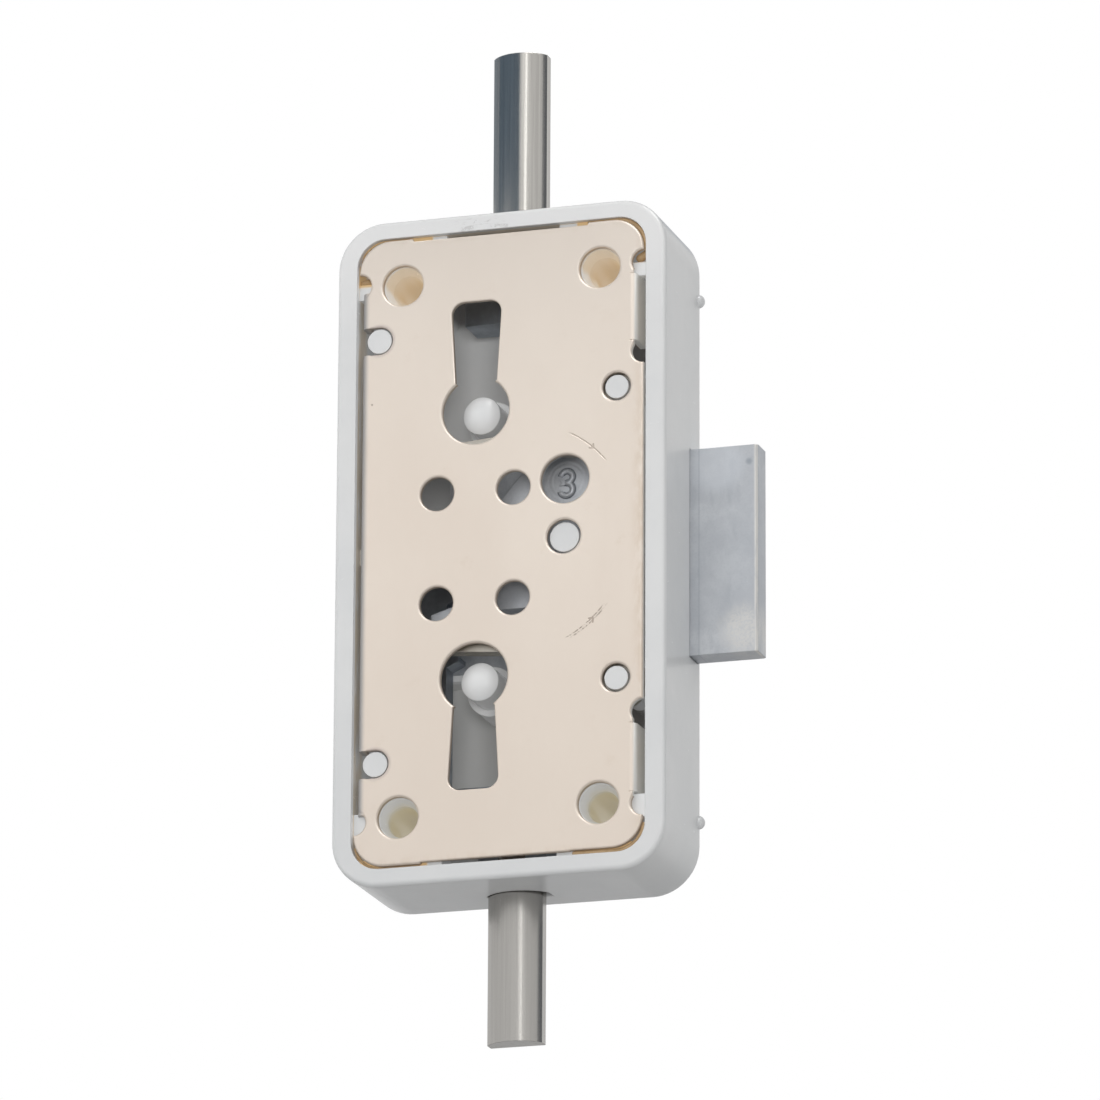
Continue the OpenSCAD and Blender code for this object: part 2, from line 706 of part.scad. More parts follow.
module upper_rod() {
    color([0.62, 0.62, 0.61]) rod(rod_in, top_z + upper_rod_out, rivet_z);
}

module lower_rod() {
    color([0.62, 0.62, 0.61]) rod(-top_z - lower_rod_out, -rod_in, -rivet_z);
}

module rod_rivet(z) {
    color([0.55, 0.56, 0.58]) {
        pin(rod_x, z, rivet_r, rod_y0 + seat_gap, carrier_y1 + seat_gap);
        pin(rod_x, z, rivet_head_r, carrier_y1 + seat_gap, carrier_y1 + seat_gap + rivet_head_t);
    }
}

// Place of the stump in a lever's own frame after a part s of the throw
function gate_point(s) = let (a = -lever_lift * s,
    d = [stump_x - throw * s - lever_x, stump_z - lever_pin_z])
    [lever_x + d[0] * cos(a) - d[1] * sin(a), lever_pin_z + d[0] * sin(a) + d[1] * cos(a)];

// Upper lever: eye on its pin, gate round the stump, belly for the key bit, toe on its spring
module lever_outline(toe_x) {
    eye = [lever_x, lever_pin_z];
    g0 = gate_point(0);
    g1 = gate_point(0.5);
    g2 = gate_point(1);
    rim = gate_r + 0.8;
    difference() {
        union() {
            translate(eye) circle(eye_r);
            slot_2d(eye, g0, rim);
            slot_2d(g0, g1, rim);
            slot_2d(g1, g2, rim);
            polygon([[g2[0], g2[1] - rim], [g2[0], g2[1] + rim * 0.4], [key_x - 8.8, 15.2],
                [key_x - 10, arm_top], [toe_x - toe_half, arm_top], [toe_x - toe_half, toe_z],
                [toe_x + toe_half, toe_z], [toe_x + toe_half, arm_low], [key_x - 10, arm_low],
                [key_x - 8.8, toe_z], [key_x + 6.3, toe_z]]);
        }
        translate(eye) circle(eye_hole_r);
        slot_2d(g0, g1, gate_r);
        slot_2d(g1, g2, gate_r);
    }
}

module lever(z, y, toe_x) {
    color([0.7, 0.66, 0.5]) mirror([0, 0, z < 0 ? 1 : 0])
        slab(y, y + lever_t) lever_outline(toe_x);
}

module upper_lever_front() {
    lever(1, front_lever_y, front_toe);
}

module upper_lever_rear() {
    lever(1, rear_lever_y, rear_toe);
}

module lower_lever_front() {
    lever(-1, front_lever_y, front_toe);
}

module lower_lever_rear() {
    lever(-1, rear_lever_y, rear_toe);
}

// Coil spring as one swept tube along its helix
coil_steps = 8;
wire_sides = 6;
coil_z0 = shelf_half + wire_r + seat_gap;
coil_z1 = toe_z - wire_r - seat_gap;
coil_rise = (coil_z1 - coil_z0) / coil_turns;
echo(least_spring_gap = coil_rise - 2 * wire_r);
function coil_point(i) = let (a = 360 * i / coil_steps)
    [coil_r * cos(a), coil_r * sin(a), coil_z0 + coil_rise * i / coil_steps];
function coil_ring(i) = let (a = 360 * i / coil_steps, c = coil_point(i))
    [for (k = [0:wire_sides - 1]) let (b = 360 * k / wire_sides)
        c + wire_r * [cos(b) * cos(a), cos(b) * sin(a), sin(b)]];

module spring(z, toe_x) {
    rings = coil_steps * coil_turns;
    y = (front_lever_y + rear_lever_y + lever_t) / 2;
    points = [for (i = [0:rings]) each coil_ring(i)];
    sides = [for (i = [0:rings - 1], k = [0:wire_sides - 1])
        let (a = i * wire_sides + k, b = i * wire_sides + (k + 1) % wire_sides)
            each [[a, b, b + wire_sides], [a, b + wire_sides, a + wire_sides]]];
    first = [for (k = [1:wire_sides - 2]) [0, k + 1, k]];
    end = rings * wire_sides;
    last = [for (k = [1:wire_sides - 2]) [end, end + k, end + k + 1]];
    color([0.5, 0.51, 0.53]) mirror([0, 0, z < 0 ? 1 : 0]) translate([toe_x, y, 0])
        polyhedron(points, concat(sides, first, last), convexity = 8);
}

module upper_spring_front() {
    spring(1, front_toe);
}

module upper_spring_rear() {
    spring(1, rear_toe);
}

module lower_spring_front() {
    spring(-1, front_toe);
}

module lower_spring_rear() {
    spring(-1, rear_toe);
}

housing();
cover_plate();
dead_bolt();
bolt_stumps();
drive_pinion();
pinion_axle();
upper_rack();
upper_rod();
rod_rivet(rivet_z);  // upper_rod_rivet
lower_rack();
lower_rod();
rod_rivet(-rivet_z);  // lower_rod_rivet
upper_lever_front();
upper_lever_rear();
lower_lever_front();
lower_lever_rear();
upper_spring_front();
upper_spring_rear();
lower_spring_front();
lower_spring_rear();
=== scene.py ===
import math
import bpy
import bmesh
from mathutils import Matrix, Vector


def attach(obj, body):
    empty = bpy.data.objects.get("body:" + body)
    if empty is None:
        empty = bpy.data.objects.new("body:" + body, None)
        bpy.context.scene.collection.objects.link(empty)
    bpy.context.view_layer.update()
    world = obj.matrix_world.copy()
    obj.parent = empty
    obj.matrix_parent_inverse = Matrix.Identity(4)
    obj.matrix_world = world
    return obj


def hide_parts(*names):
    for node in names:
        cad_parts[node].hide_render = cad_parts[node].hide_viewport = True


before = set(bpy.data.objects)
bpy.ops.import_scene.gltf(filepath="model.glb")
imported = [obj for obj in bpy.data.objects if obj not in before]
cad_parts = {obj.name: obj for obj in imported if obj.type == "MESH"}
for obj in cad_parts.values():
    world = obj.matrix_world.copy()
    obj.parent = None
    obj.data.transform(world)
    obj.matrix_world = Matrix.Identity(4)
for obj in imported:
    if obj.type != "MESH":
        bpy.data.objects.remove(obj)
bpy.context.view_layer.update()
mm = 0.001
black = (0.0, 0.0, 0.0)
print("frame loaded:", len(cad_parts), "nodes")


def toScene(thing):
    bpy.context.scene.collection.objects.link(thing)
    return thing


# camera, solved from the photograph
cameraSettings = {"place": (358.603, -1105.273, -342.663), "target": (7.712, 0.0, -2.0505),
                  "roll": 0.2971, "lens": 275.636, "sensor": 36.0, "near": 0.05, "far": 20}


def addCamera(settings):
    data = bpy.data.cameras.new("photoCamera")
    data.lens = settings["lens"]
    data.sensor_width = settings["sensor"]
    data.clip_start, data.clip_end = settings["near"], settings["far"]
    camera = toScene(bpy.data.objects.new("photoCamera", data))
    place = Vector(settings["place"]) * mm
    ahead = (Vector(settings["target"]) * mm - place).normalized()
    right = ahead.cross(Vector((0, 0, 1))).normalized()
    up = right.cross(ahead)
    roll = math.radians(settings["roll"])
    turnedRight = math.cos(roll) * right + math.sin(roll) * up
    turnedUp = -math.sin(roll) * right + math.cos(roll) * up
    turn = Matrix((turnedRight, turnedUp, -ahead)).transposed()
    camera.matrix_world = Matrix.Translation(place) @ turn.to_4x4()
    bpy.context.scene.camera = camera


addCamera(cameraSettings)
print("camera set")


# shader maths
class Wire:
    # one socket of a node tree, usable in plain arithmetic
    def __init__(self, paint, socket):
        self.paint = paint
        self.socket = socket

    def maths(self, operation, first, second=0.0):
        return self.paint.node("ShaderNodeMath", {"operation": operation}, {0: first, 1: second})

    def __add__(self, other):
        return self.maths("ADD", self, other)

    __radd__ = __add__

    def __sub__(self, other):
        return self.maths("SUBTRACT", self, other)

    def __rsub__(self, other):
        return self.maths("SUBTRACT", other, self)

    def __mul__(self, other):
        return self.maths("MULTIPLY", self, other)

    __rmul__ = __mul__

    def __truediv__(self, other):
        return self.maths("DIVIDE", self, other)

    def __rtruediv__(self, other):
        return self.maths("DIVIDE", other, self)

    def __neg__(self):
        return self.maths("MULTIPLY", self, -1.0)

    def __abs__(self):
        return self.maths("ABSOLUTE", self)

    def most(self, other):
        return self.maths("MAXIMUM", self, other)

    def least(self, other):
        return self.maths("MINIMUM", self, other)

    def root(self):
        return self.maths("SQRT", self)

    def between(self, low, high, start=0.0, end=1.0):
        # soft step from start to end while the value goes from low to high
        return self.paint.node("ShaderNodeMapRange", {"interpolation_type": "SMOOTHSTEP"},
                               {"Value": self, "From Min": low, "From Max": high, "To Min": start, "To Max": end})

    def fade(self, low, high):
        return self.between(low, high, 1.0, 0.0)


class Paint:
    # node tree in which one method makes any node
    def __init__(self, tree):
        self.tree = tree

    def put(self, socket, value):
        if isinstance(value, Wire):
            self.tree.links.new(value.socket, socket)
        elif socket.type == "RGBA" and len(value) == 3:
            socket.default_value = (*value, 1.0)
        else:
            socket.default_value = value

    def node(self, kind, settings, inputs, out=0):
        made = self.tree.nodes.new(kind)
        for key, value in settings.items():
            setattr(made, key, value)
        for key, value in inputs.items():
            self.put(made.inputs[key], value)
        return Wire(self, made.outputs[out])


class Finish(Paint):
    # one material of the lock, in the lock's own millimetres
    def __init__(self, name, shine):
        self.material = bpy.data.materials.new(name)
        self.material.use_nodes = True
        super().__init__(self.material.node_tree)
        self.shader = self.tree.nodes["Principled BSDF"]
        place = self.node("ShaderNodeTexCoord", {}, {}, "Object")
        self.millimetres = self.node("ShaderNodeVectorMath", {"operation": "SCALE"}, {0: place, "Scale": 1 / mm})
        split = self.node("ShaderNodeSeparateXYZ", {}, {0: self.millimetres})
        self.x, self.y, self.z = (Wire(self, out) for out in split.socket.node.outputs)
        for key, value in shine.items():
            self.feed(key, value)

    def feed(self, key, value):
        self.put(self.shader.inputs[key], value)

    def glow(self, factor, colour):
        self.feed("Emission Color", self.mix(factor, black, colour))
        self.feed("Emission Strength", 1.0)

    def mix(self, factor, first, second):
        return self.node("ShaderNodeMix", {"data_type": "RGBA"}, {0: factor, 6: first, 7: second}, 2)

    def noise(self, scale, detail=3.0, rough=0.55, stretch=(1.0, 1.0, 1.0), seed=0.0):
        place = self.node("ShaderNodeVectorMath", {"operation": "MULTIPLY"}, {0: self.millimetres, 1: stretch})
        return self.node("ShaderNodeTexNoise", {"noise_dimensions": "4D"},
                         {"Vector": place, "W": seed, "Scale": scale, "Detail": detail, "Roughness": rough})

    def fromPoint(self, x, z):
        offX, offZ = self.x - x, self.z - z
        return (offX * offX + offZ * offZ).root()

    def stroke(self, start, end, width):
        # mask of a thin line between two points of the door face
        (ax, az), (bx, bz) = start, end
        dx, dz = bx - ax, bz - az
        along = ((self.x - ax) * dx + (self.z - az) * dz) / (dx * dx + dz * dz)
        along = along.most(0.0).least(1.0)
        offX = self.x - ax - along * dx
        offZ = self.z - az - along * dz
        return (offX * offX + offZ * offZ).root().fade(width * 0.5, width)

    def bump(self, height, depth, rounding=0.0):
        # depth in millimetres; rounding softens the sharp edges of a carried-over solid
        inputs = {"Height": height, "Strength": 1.0, "Distance": depth * mm}
        if rounding:
            inputs["Normal"] = self.node("ShaderNodeBevel", {"samples": 6}, {"Radius": rounding * mm})
        self.feed("Normal", self.node("ShaderNodeBump", {}, inputs))


# case
plasticFinish = {"colour": (0.735, 0.74, 0.74), "shade": (0.68, 0.69, 0.695), "rough": 0.2, "through": 0.09,
                 "low": (0.63, 0.64, 0.645), "lowFloorShade": (0.36, 0.35, 0.32), "lipHighlight": (0.86, 0.855, 0.85),
                 "amber": (0.58, 0.41, 0.21), "wall": (0.58, 0.49, 0.37), "film": (0.62, 0.53, 0.41),
                 "tan": (0.58, 0.46, 0.29), "olive": (0.58, 0.525, 0.38), "floorShadowTone": (0.15, 0.14, 0.135),
                 "rub": (0.2, 0.19, 0.18), "rubCentre": (-3.5, 48.4),
                 "rubs": [((-5.9, 47.75), (-4.0, 48.0), 0.42), ((-1.4, 47.9), (0.9, 47.75), 0.34),
                          ((-4.2, 48.5), (-3.9, 48.9), 0.16), ((-2.2, 48.6), (-1.6, 48.9), 0.12)],
                 "floorSpots": [(15.4, 32.1), (15.4, -21.7)], "leverShadow": (-14.9, 13.1),
                 "boreX": 15.0, "boreZ": 40.0, "boreSquare": (9.4, 9.6)}


def makePlastic(settings):
    paint = Finish("moulded grey plastic", {"IOR": 1.49, "Specular IOR Level": 0.5})
    x, y, z = paint.x, paint.y, paint.z
    cloud = paint.noise(0.055, 4.0, 0.6)
    fine = paint.noise(1.6, 3.0, 0.6)
    scuff = paint.noise(0.35, 5.0, 0.7, (1.0, 1.0, 3.0), 4.0).between(0.66, 0.74)
    colour = paint.mix(cloud.between(0.35, 0.68), settings["colour"], settings["shade"])
    # painted shade: the case's colour darkens towards its lower end
    colour = paint.mix(z.between(-50.0, 0.0, 0.3, 0.0), colour, settings["low"])
    # dark rub marks where the rod passes over the rim
    marks = paint.noise(1.1, 4.0, 0.65, (1.0, 1.0, 4.0), 2.0).between(0.55, 0.66)
    marks = marks * paint.fromPoint(*settings["rubCentre"]).fade(1.5, 6.5) * 0.35
    ragged = paint.noise(2.6, 4.0, 0.75, (1.0, 1.0, 1.0), 6.0).between(0.42, 0.58)
    for start, end, width in settings["rubs"]:
        marks = marks.most(paint.stroke(start, end, width) * ragged * 0.7)
    colour = paint.mix(marks * y.fade(0.4, 0.8), colour, settings["rub"])
    # inside of the tray: light comes through the thin walls
    sideX, sideZ = abs(x), abs(z)
    inside = sideX.fade(22.2, 22.4) * sideZ.fade(47.55, 47.65) * y.between(0.8, 0.95) * y.fade(16.9, 17.0)
    # amber grease on the ledges and behind the sheet's edges
    ledge = sideZ.between(44.8, 45.4) * abs(x - 0.25).between(10.8, 11.2)
    walls = sideX.between(21.9, 21.96) * paint.noise(0.35, 3.0, 0.6, (1.0, 1.0, 0.3), 12.0).between(0.3, 0.5)
    pegs = sideX.between(19.6, 19.9) * z.between(40.3, 40.8) * z.fade(43.4, 44.4)
    shallow = y.fade(3.5, 5.5)
    amber = ledge.most(pegs) * shallow * inside
    ceiling = z.between(47.3, 47.36)
    colour = paint.mix(walls.most(ceiling) * shallow * inside * 0.8, colour, settings["wall"])
    colour = paint.mix(amber, colour, settings["amber"])
    # painted shade darkens the tray's floor, more towards the lower end; painted light brightens the lip towards the
    # upper end
    colour = paint.mix(y.between(13.0, 14.0) * inside * z.between(-20.0, 10.0, 0.42, 0.14), colour, settings["lowFloorShade"])
    colour = paint.mix(y.fade(0.15, 0.4) * z.between(25.0, 48.0, 0.0, 0.5), colour, settings["lipHighlight"])
    # painted shadow on the floor beside the upper carrier and where the upper arm shades it, and two dark floor spots
    floorDarkMask = z.between(37.6, 39.2) * x.between(-14.2, -13.4) * x.fade(-9.0, -8.0)
    floorDarkMask = floorDarkMask.most(paint.fromPoint(*settings["leverShadow"]).between(3.0, 5.5, 0.55, 0.0))
    for spot in settings["floorSpots"]:
        floorDarkMask = floorDarkMask.most(paint.fromPoint(*spot).fade(2.8, 4.4))
    colour = paint.mix(floorDarkMask * y.between(12.0, 12.5) * inside * 0.85, colour, settings["floorShadowTone"])
    # tan film in the screw bores, rubbed off towards the outer left
    upper = z.between(-0.1, 0.1)
    boreX = x - x.between(-0.1, 0.1, -settings["boreX"], settings["boreX"])
    boreZ = z - z.between(-0.1, 0.1, -settings["boreZ"], settings["boreZ"])
    wave = paint.noise(0.5, 3.0, 0.5, (1.0, 1.0, 1.0), 15.0)
    depth = y + 2.0 * wave
    bore = (boreX * boreX + boreZ * boreZ).fade(*settings["boreSquare"])
    bore = bore * (depth - 1.5 * (1.0 - upper)).between(1.4, 2.2 + 1.8 * (1.0 - upper))
    bare = upper * (-0.8 * boreX - 0.6 * boreZ + wave).between(2.3, 3.0)
    film = paint.mix(depth.between(3.0, 10.0), settings["film"], settings["tan"])
    film = paint.mix(upper, settings["olive"], film)
    colour = paint.mix(bore * (0.95 - 0.75 * bare), colour, film)
    paint.feed("Base Color", colour)
    paint.feed("Roughness", settings["rough"] + 0.10 * fine + 0.14 * scuff + 0.25 * amber)
    # light in the thin brim round the sheet, the tray and the bores
    brim = sideX.between(21.9, 21.96) * sideX.fade(22.1, 22.15) * sideZ.fade(43.0, 44.0)
    brim = brim.most(ceiling * inside * 0.7) * y.between(0.1, 0.3) * y.between(0.3, 3.0, 0.22, 0.05)
    paint.glow((settings["through"] * inside + 0.22 * amber + (0.1 + 0.1 * upper) * bore * inside).most(brim), colour)
    paint.bump(fine * 0.5 + paint.noise(0.12, 2.0, 0.5) * 4.0, 0.02, 0.22)
    return paint.material


# cover plate: the sheet with its notches, bent edges, slots and holes, in millimetres
plateSheet = {"edgeX": 21.65, "edgeZ": 47.05, "corner": 4.6, "thick": 1.0, "rounding": 0.24,
              "notch": 1.8, "notchZ": 40.4, "midNotchZ": 26.9, "tongueX": 20.18,
              "reach": 38.65, "leftReach": 39.3, "flangeFrom": 28.6, "cornerGrow": 0.1, "cornerLift": 0.45,
              "leftOut": -21.2, "rightOut": 20.65, "bend": 1.0, "leftDeep": 2.6, "rightDeep": 5.0,
              "slotX": -18.55, "slotZ": 31.85, "slotR": 2.06,
              "topGap": [(13.3, 0.0), (13.1, -0.4), (-13.4, -0.4), (-13.6, 0.0)],
              "lowGap": [(-11.6, 0.0), (-11.4, 0.25), (10.7, 0.25), (10.9, 0.35)]}
keyholeShape = {"x": -3.7, "z": 20.0, "radius": 5.07, "reach": 16.6, "neck": 5.8, "end": 7.5, "round": 1.8}
# round holes: x, z, radius and steps
roundHoles = [(x, z, 3.05, 72) for x in (-15, 15) for z in (-40, 40)]
roundHoles += [(-3.7 + dx, -0.4 + dz, 2.52, 72) for dx in (-5.77, 5.77) for dz in (-8.25, 8.25)]
roundHoles += [(9.86, 8.5, 3.62, 72), (9.7, -0.1, 2.55, 72), (17.6, -21.75, 2.12, 48), (17.6, 21.75, 2.12, 48)]

plateFinish = {"colour": (0.765, 0.675, 0.59), "pale": (0.805, 0.72, 0.635), "stain": (0.60, 0.48, 0.36),
               "low": (0.69, 0.605, 0.525), "high": (0.83, 0.745, 0.66), "rough": 0.36,
               "slot": (0.34, 0.27, 0.27), "cut": (0.40, 0.32, 0.25), "leftBendShade": (0.40, 0.39, 0.385),
               "grey": (0.66, 0.655, 0.63), "mark": (0.30, 0.23, 0.18), "speck": (-19.53, 22.18),
               "arcCentre": (2.5, 0.0), "arcRadius": 17.3, "arrowTip": (14.2, 12.7),
               "barbs": [(13.55, 12.75), (14.15, 13.3)], "roll": 0.5}


def plateArcs(paint, settings):
    # two stamped arcs with arrow heads round the adjusting mark: one line above, a twin line below
    x, z = paint.x, paint.z
    radius = paint.fromPoint(*settings["arcCentre"]) - settings["arcRadius"]
    worn = paint.noise(2.2, 3.0, 0.7, (1.0, 1.0, 1.0), 21.0)
    single = abs(radius).fade(0.06, 0.15) * worn.between(0.3, 0.5, 0.45, 1.0)
    twin = abs(abs(radius) - 0.18).fade(0.04, 0.12) * worn.between(0.42, 0.56)
    arcs = z.between(-0.1, 0.1) * single + z.fade(-0.1, 0.1) * twin
    arcs = arcs * abs(z).between(10.5, 11.2) * abs(z).fade(15.0, 15.5) * x.between(5.0, 6.0)
    tipX, tipZ = settings["arrowTip"]
    for side in (1, -1):
        for barbX, barbZ in settings["barbs"]:
            arcs = arcs.most(paint.stroke((tipX, tipZ * side), (barbX, barbZ * side), 0.17) * 0.9)
    return arcs.most(paint.fromPoint(*settings["speck"]).fade(0.1, 0.22))


def plateReach(paint, s):
    # distance from the sheet's outline and from the rim of every hole and notch
    offX = (abs(paint.x) - (s["edgeX"] - s["corner"])).most(0.0)
    offZ = (abs(paint.z) - (s["edgeZ"] - s["corner"])).most(0.0)
    reach = s["corner"] - (offX * offX + offZ * offZ).root()
    rims = [(x, z, radius) for x, z, radius, steps in roundHoles]
    rims += [(keyholeShape["x"], side * keyholeShape["z"], keyholeShape["radius"]) for side in (1, -1)]
    rims += [(side * s["edgeX"], end * s["notchZ"], s["notch"]) for side in (1, -1) for end in (1, -1)]
    rims += [(s["edgeX"], end * s["midNotchZ"], s["notch"]) for end in (1, -1)]
    for x, z, radius in rims:
        reach = reach.least(paint.fromPoint(x, z) - radius)
    return reach


def makePlate(settings):
    paint = Finish("warm nickel sheet", {"Metallic": 0.42})
    x, y, z = paint.x, paint.y, paint.z
    cloud = paint.noise(0.045, 5.0, 0.62, (1.0, 1.0, 0.6), 1.0)
    grain = paint.noise(1.4, 4.0, 0.7, (1.0, 1.0, 0.06), 3.0)
    speck = paint.noise(5.0, 2.0, 0.5, (1.0, 1.0, 1.0), 7.0)
    colour = paint.mix(cloud.between(0.32, 0.7), settings["colour"], settings["pale"])
    stain = paint.noise(0.16, 5.0, 0.7, (1.0, 1.0, 1.0), 9.0).between(0.58, 0.75)
    colour = paint.mix(stain * 0.22, colour, settings["stain"])
    colour = paint.mix(speck.between(0.68, 0.78) * 0.25, colour, settings["stain"])
    # tarnish along the sheet's edges
    edge = abs(x).between(19.4, 21.5).most(abs(z).between(45.4, 47.0))
    broken = paint.noise(0.5, 4.0, 0.65, (1.0, 1.0, 0.4), 11.0).between(0.42, 0.62)
    colour = paint.mix(edge * broken * 0.45, colour, settings["stain"])
    # painted shade darkens the sheet towards the lower end and painted light brightens it towards the upper end, with
    # a thin painted shade round the slots of the left edge
    colour = paint.mix(z.between(-47.0, 10.0, 0.5, 0.0), colour, settings["low"])
    colour = paint.mix(z.between(5.0, 40.0, 0.0, 0.6), colour, settings["high"])
    slotX, slotZ = plateSheet["slotX"], plateSheet["slotZ"]
    slot = paint.fromPoint(slotX, slotZ).least(paint.fromPoint(slotX, -slotZ))
    colour = paint.mix(slot.between(2.1, 2.75, 0.4, 0.0), colour, settings["slot"])
    # painted shade on the sheet's cut walls in brown; bent edges in cool grey as painted shade on the left, pale grey
    # with painted light on the right
    right = x.between(-1.0, 1.0)
    leg = (-x).between(19.9, 20.9).most(x.between(19.7, 19.8)) * abs(z).fade(39.3, 39.35)
    colour = paint.mix(y.between(0.14, 0.3) * (1.0 - leg) * 0.7, colour, settings["cut"])
    leg = leg * y.between(0.02, 0.35).most(1.0 - right)
    colour = paint.mix(leg, colour, paint.mix(right, settings["leftBendShade"], settings["grey"]))
    arcs = plateArcs(paint, settings)
    colour = paint.mix(arcs * z.between(-1.0, 1.0, 0.72, 0.55), colour, settings["mark"])
    paint.feed("Base Color", colour)
    # painted light: the right bent edges glow faintly
    paint.glow(leg * right * 0.1, colour)
    paint.feed("Roughness", settings["rough"] + 0.10 * grain + 0.08 * cloud)
    # pressed edges roll off a little round the outline and every hole
    dents = paint.noise(0.09, 3.0, 0.5, (1.0, 1.0, 1.0), 5.0) * 6.0
    roll = plateReach(paint, plateSheet).fade(0.0, settings["roll"])
    paint.bump(dents + grain * 0.35 + speck * 0.2 - arcs * 4.0 - roll * roll * 9.0, 0.012)
    return paint.material


# dead bolt, and the raised figure on its adjusting pad: two bowls, each open at the left between two heights
figureShape = {"bowls": [{"centre": (8.75, 10.16), "radius": 0.87, "open": (-1.2, 0.2), "turn": (158, -84)},
                         {"centre": (8.7, 8.29), "radius": 0.95, "open": (-0.33, 1.3), "turn": (84, -146)}],
               "depth": 4.66, "line": 0.37, "steps": 22}
zincFinish = {"colour": (0.50, 0.52, 0.55), "pale": (0.585, 0.605, 0.63), "dull": (0.41, 0.435, 0.47),
              "paintedPadShade": (0.07, 0.08, 0.095), "skin": (0.64, 0.67, 0.71), "worn": (0.74, 0.72, 0.68),
              "mark": (0.26, 0.29, 0.34), "rough": 0.36, "skinCentre": (29.0, 12.5), "footCentre": (33.4, -12.6),
              "spot": (33.9, 12.6), "pad": (8.7, 9.6), "caseSide": (24.9, 25.0), "nose": (34.5, 34.86, 35.12, 35.19)}


def figureDistance(paint):
    # distance from the middle line of the raised figure
    reach = None
    for bowl in figureShape["bowls"]:
        (centreX, centreZ), (low, high) = bowl["centre"], bowl["open"]
        offX, offZ = paint.x - centreX, paint.z - centreZ
        gap = offX.fade(-0.3, -0.1) * offZ.between(low, low + 0.1) * offZ.fade(high - 0.1, high)
        ring = abs(paint.fromPoint(centreX, centreZ) - bowl["radius"]) + 4.0 * gap
        reach = ring if reach is None else reach.least(ring)
    return reach


def makeZinc(settings):
    paint = Finish("cast zinc", {"Metallic": 0.62})
    x, y, z = paint.x, paint.y, paint.z
    blotch = paint.noise(0.16, 5.0, 0.68, (1.0, 1.0, 1.0), 2.0)
    flow = paint.noise(0.5, 4.0, 0.6, (1.0, 1.0, 0.35), 6.0)
    fine = paint.noise(3.2, 3.0, 0.6)
    outside = x.between(*settings["caseSide"])
    colour = paint.mix(blotch.between(0.4, 0.64), settings["colour"], settings["pale"])
    colour = paint.mix(flow.between(0.52, 0.7) * 0.5, colour, settings["dull"])
    colour = paint.mix(fine.between(0.48, 0.66) * 0.22, colour, settings["dull"])
    colour = paint.mix(z.between(2.0, 7.0, 0.3, 0.0) * z.between(-13.0, -8.0), colour, settings["dull"])
    # pale skin near the top, a painted highlight line along the nose's edge, and a warm patch by the nose
    skin = (paint.fromPoint(*settings["skinCentre"]) + 3.0 * blotch).between(4.0, 6.5, 0.55, 0.0)
    colour = paint.mix(skin, colour, settings["skin"])
    nearLow, nearHigh, farLow, farHigh = settings["nose"]
    # painted highlight: the line along the nose's edge
    worn = x.between(nearLow, nearHigh) * x.fade(farLow, farHigh) * flow.between(0.35, 0.55, 0.2, 0.8)
    foot = (paint.fromPoint(*settings["footCentre"]) + 4.0 * flow).between(3.5, 7.0, 0.6, 0.0)
    foot = foot * fine.between(0.35, 0.6, 0.4, 1.0)
    colour = paint.mix(worn.most(foot) * outside, colour, settings["worn"])
    # band that the case wall keeps clean, and a dark spot near the nose
    band = x.fade(26.2, 26.3)
    line = abs(x - 26.35).fade(0.05, 0.14)
    spot = paint.fromPoint(*settings["spot"]).fade(0.2, 0.75)
    colour = paint.mix((band * 0.06).most(line * 0.3).most(spot * 0.6) * outside, colour, settings["mark"])
    # turned rings on the adjusting pad, painted shade along the foot of its raised figure, and painted shadow of the
    # recess rim over its upper left
    pad = paint.fromPoint(*settings["pad"])
    onPad = pad.fade(3.5, 3.8) * y.fade(5.2, 5.4)
    groove = pad.maths("SINE", pad * 9.0) * onPad * pad.between(1.6, 2.4)
    paintedPadShade = figureDistance(paint).fade(0.42, 0.6) * y.between(4.55, 4.66) * onPad
    shade = (z - 0.35 * x).between(8.3, 10.3) * onPad * 0.55
    colour = paint.mix(shade.most(paintedPadShade * 0.8), colour, settings["paintedPadShade"])
    paint.feed("Base Color", colour)
    # painted light: a faint glow on the zinc inside the case
    paint.glow(0.06 * x.fade(24.0, 24.5) * y.between(0.8, 1.0), colour)
    paint.feed("Roughness", settings["rough"] + 0.16 * blotch + 0.08 * fine)
    paint.bump(fine * 0.5 + flow * 1.2 + blotch * 2.0 + groove * 0.7, 0.02, 0.16)
    return paint.material


# rods
rodFinish = {"colour": (0.44, 0.425, 0.40), "pale": (0.51, 0.495, 0.465), "lower": (0.38, 0.37, 0.355),
             "nick": (0.2, 0.195, 0.19), "rough": 0.11}


def makeRod(settings):
    paint = Finish("drawn rod steel", {"Metallic": 1.0})
    drawn = paint.noise(2.2, 4.0, 0.65, (1.0, 1.0, 0.012), 3.0)
    cloud = paint.noise(0.12, 4.0, 0.6, (1.0, 1.0, 0.5), 8.0)
    colour = paint.mix(drawn.between(0.35, 0.65), settings["colour"], settings["pale"])
    nick = paint.noise(1.3, 4.0, 0.7, (1.0, 1.0, 1.0), 5.0).between(0.69, 0.74)
    colour = paint.mix(nick * 0.4, colour, settings["nick"])
    lower = paint.z.fade(-1.0, 1.0)
    colour = paint.mix(lower * 0.5, colour, settings["lower"])
    paint.feed("Base Color", colour)
    paint.feed("Roughness", settings["rough"] + 0.1 * drawn + 0.08 * cloud + 0.05 * lower)
    paint.bump(drawn * 0.8 + cloud * 0.8, 0.012, 0.12)
    return paint.material


# small metal pieces: colour, pale colour, roughness and the rounding of their edges
metalFinishes = {"turned pin steel": ((0.5, 0.5, 0.51), (0.6, 0.6, 0.61), 0.25, 0.08),
                 "oiled gear steel": ((0.33, 0.36, 0.40), (0.45, 0.485, 0.53), 0.45, 0.12),
                 "nickelled brass": ((0.46, 0.43, 0.38), (0.53, 0.50, 0.45), 0.36, 0.1),
                 "spring wire": ((0.36, 0.36, 0.37), (0.45, 0.45, 0.46), 0.25, 0.0)}


